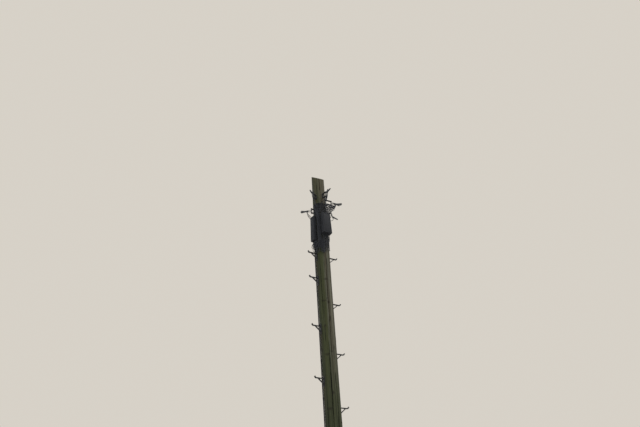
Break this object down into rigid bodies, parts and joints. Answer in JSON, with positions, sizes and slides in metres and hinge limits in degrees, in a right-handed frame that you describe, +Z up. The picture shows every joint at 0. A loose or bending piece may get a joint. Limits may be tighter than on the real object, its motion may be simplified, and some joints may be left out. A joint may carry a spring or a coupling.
{
  "type": "wooden telephone pole",
  "caption": "Wooden telephone pole with climbing steps, stirrups with drop-wire clamps, hinged terminal boxes and the cables that feed them.",
  "frame": {"origin": "centre of the pole's foot at ground level", "axes": "+Z up along the pole, +X towards the right-hand steps, -Y towards the front box"},
  "size_m": [0.7321, 0.5026, 7.6865],
  "materials": {
    "pole_wood": "weathered grey-brown with green algae, long drying checks and knots",
    "galvanised_steel": "galvanised, dulled dark grey by weather",
    "clamp_metal": "dull cast, lightly stained",
    "box_plastic": "moulded black plastic, satin, slightly bleached",
    "terminal_plastic": "moulded light grey plastic",
    "cable_sheath": "extruded black sheath, satin",
    "guard_plastic": "weathered dark grey plastic"
  },
  "bodies": {
    "pole_body": {"pole": "pole_wood", "feed_cable": "cable_sheath", "link_cable": "cable_sheath", "feed_clips": "galvanised_steel", "cable_guard": "guard_plastic", "front_box_tray": "box_plastic", "front_box_terminals": "terminal_plastic", "left_box_tray": "box_plastic", "left_box_terminals": "terminal_plastic", "front_box_base": "box_plastic", "left_box_base": "box_plastic", "right_step_1": "galvanised_steel", "right_step_2": "galvanised_steel", "right_step_3": "galvanised_steel", "right_step_4": "galvanised_steel", "right_step_5": "galvanised_steel", "left_step_1": "galvanised_steel", "left_step_2": "galvanised_steel", "left_step_3": "galvanised_steel", "left_step_4": "galvanised_steel", "left_step_5": "galvanised_steel", "right_upper_stirrup": "galvanised_steel", "right_lower_stirrup": "galvanised_steel", "front_stirrup": "galvanised_steel", "left_upper_stirrup": "galvanised_steel", "left_lower_stirrup": "galvanised_steel", "right_upper_clamps": "clamp_metal", "right_lower_clamps": "clamp_metal", "front_clamps": "clamp_metal", "left_upper_clamps": "clamp_metal", "left_lower_clamps": "clamp_metal", "right_tails": "cable_sheath", "front_tails": "cable_sheath", "left_upper_tails": "cable_sheath", "left_lower_tails": "cable_sheath"},
    "front_cover": {"front_box_cover": "box_plastic"},
    "left_cover": {"left_box_cover": "box_plastic"}
  },
  "joints": [
    {"name": "front_cover_hinge", "type": "hinge", "parent": "pole_body", "child": "front_cover", "pos_m": [0.0815, -0.15176, 6.6875], "axis": [0, 0, 1], "range_deg": [0, 110]},
    {"name": "left_cover_hinge", "type": "hinge", "parent": "pole_body", "child": "left_cover", "pos_m": [-0.13839, 0.0595, 6.635], "axis": [0, 0, -1], "range_deg": [0, 110]}
  ]
}
